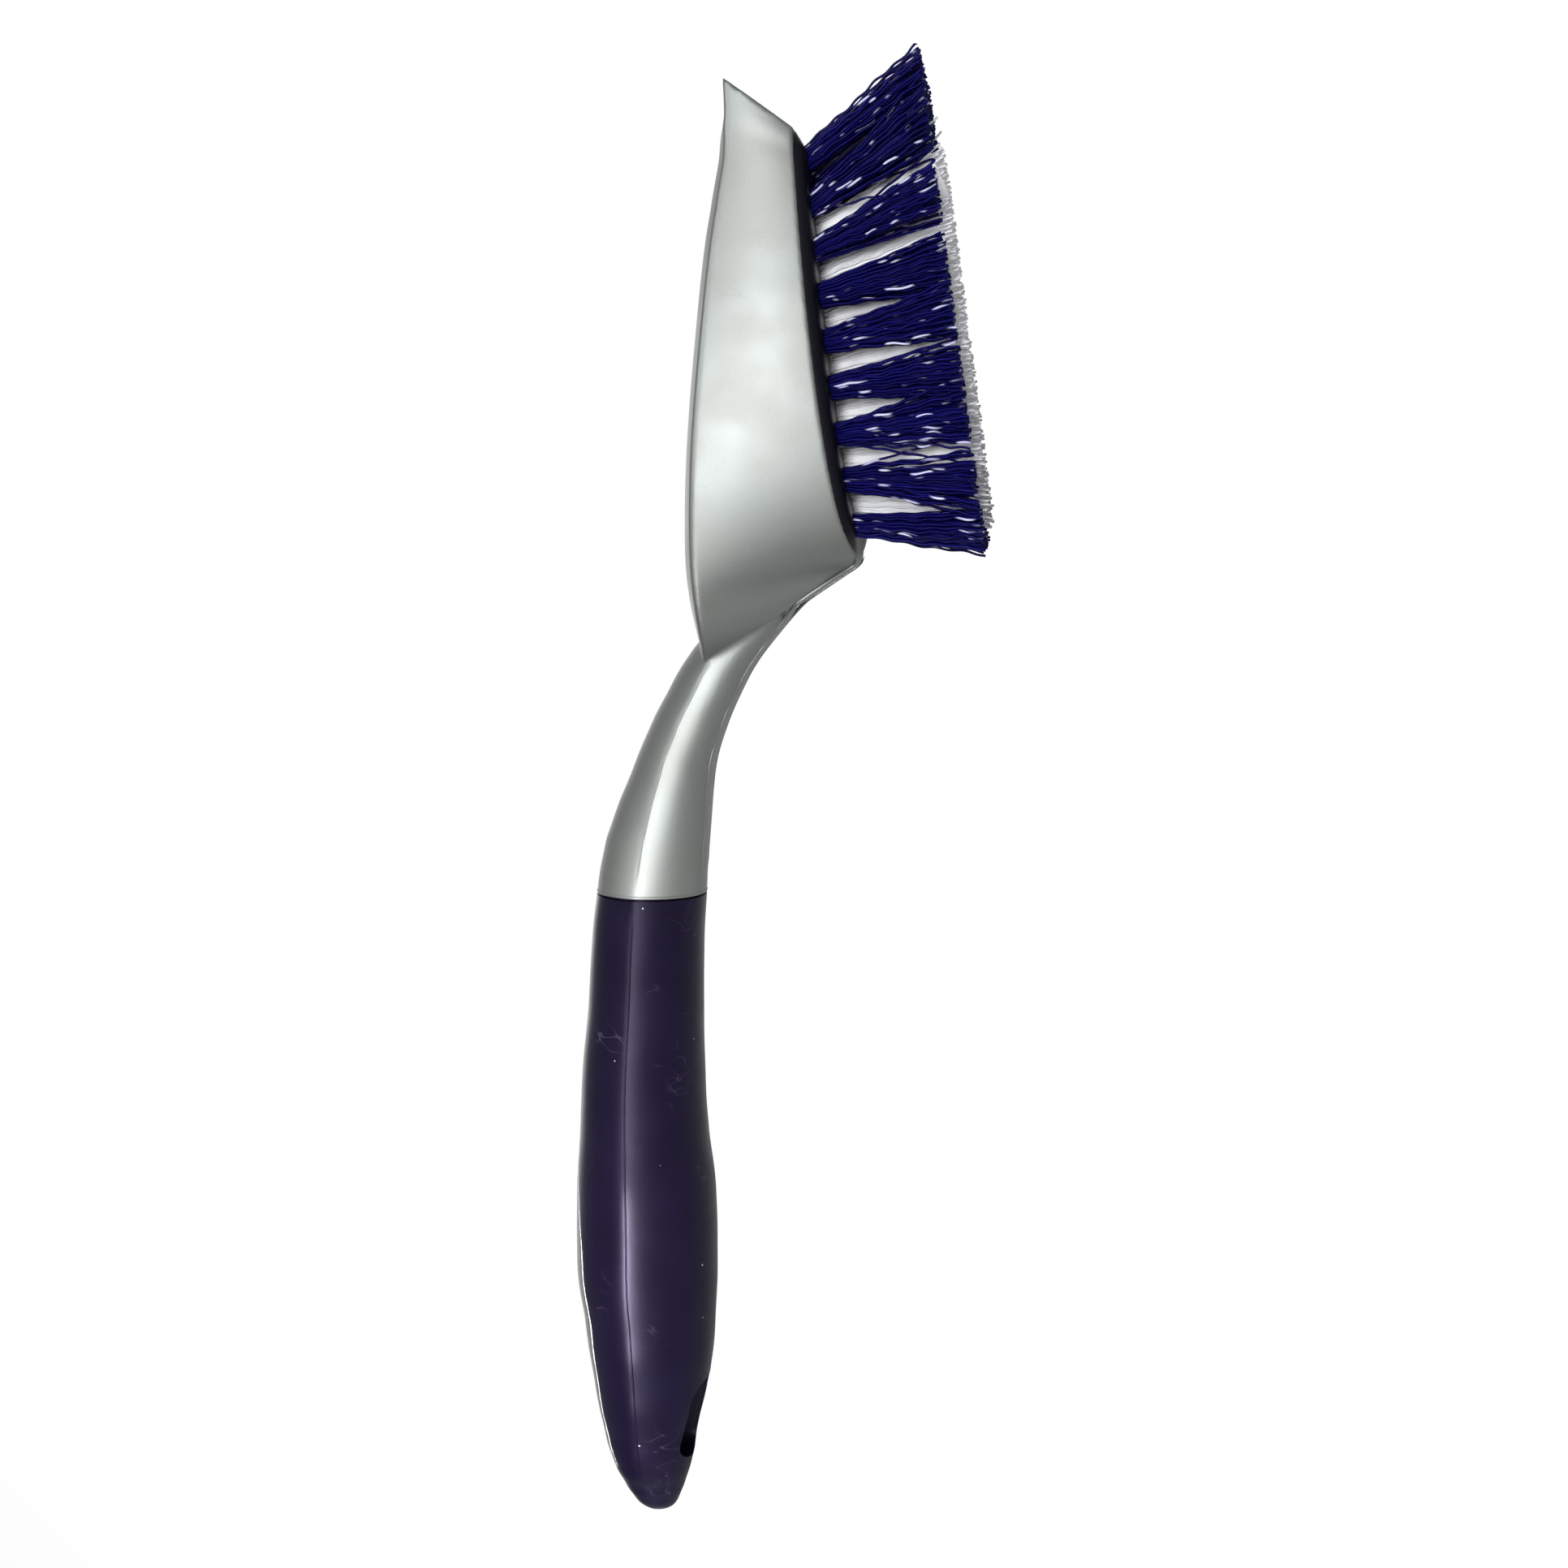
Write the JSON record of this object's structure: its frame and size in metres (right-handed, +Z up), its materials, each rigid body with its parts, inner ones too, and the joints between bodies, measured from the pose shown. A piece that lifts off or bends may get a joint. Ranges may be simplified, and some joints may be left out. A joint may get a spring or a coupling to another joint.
{
  "type": "scrub_brush",
  "caption": "Hand scrub brush with a silver head and arched neck, a dark soft grip with a hang slot, fanned blue and white bristles and a scraper edge at the toe",
  "frame": {"origin": "middle of the bounding box, on the floor", "axes": "+X from the butt of the grip to the scraper, +Y across the head, +Z up; the brush stands on its heel bristles and its butt"},
  "size_m": [0.2628, 0.0475, 0.0656],
  "materials": {
    "silver_paint": "satin metallic silver paint",
    "purple_soft_grip": "satin",
    "dark_block_plastic": "glossy",
    "blue_bristle": "satin",
    "white_bristle": "satin"
  },
  "bodies": {
    "root": {"body_moulding": "silver_paint", "grip_sleeve": "purple_soft_grip", "bristle_block": "dark_block_plastic", "tuft_near_outer_1": "blue_bristle", "tuft_near_outer_2": "blue_bristle", "tuft_near_outer_3": "blue_bristle", "tuft_near_outer_4": "blue_bristle", "tuft_near_outer_5": "blue_bristle", "tuft_near_outer_6": "blue_bristle", "tuft_near_outer_7": "blue_bristle", "tuft_near_outer_8": "blue_bristle", "tuft_near_outer_9": "blue_bristle", "tuft_near_inner_1": "blue_bristle", "tuft_near_inner_2": "white_bristle", "tuft_near_inner_3": "white_bristle", "tuft_near_inner_4": "white_bristle", "tuft_near_inner_5": "white_bristle", "tuft_near_inner_6": "white_bristle", "tuft_near_inner_7": "white_bristle", "tuft_near_inner_8": "white_bristle", "tuft_centre_1": "blue_bristle", "tuft_centre_2": "blue_bristle", "tuft_centre_3": "white_bristle", "tuft_centre_4": "white_bristle", "tuft_centre_5": "white_bristle", "tuft_centre_6": "white_bristle", "tuft_centre_7": "white_bristle", "tuft_centre_8": "white_bristle", "tuft_centre_9": "blue_bristle", "tuft_far_inner_1": "blue_bristle", "tuft_far_inner_2": "white_bristle", "tuft_far_inner_3": "white_bristle", "tuft_far_inner_4": "white_bristle", "tuft_far_inner_5": "white_bristle", "tuft_far_inner_6": "white_bristle", "tuft_far_inner_7": "white_bristle", "tuft_far_inner_8": "white_bristle", "tuft_far_outer_1": "blue_bristle", "tuft_far_outer_2": "blue_bristle", "tuft_far_outer_3": "blue_bristle", "tuft_far_outer_4": "blue_bristle", "tuft_far_outer_5": "blue_bristle", "tuft_far_outer_6": "blue_bristle", "tuft_far_outer_7": "blue_bristle", "tuft_far_outer_8": "blue_bristle", "tuft_far_outer_9": "blue_bristle"}
  },
  "joints": []
}
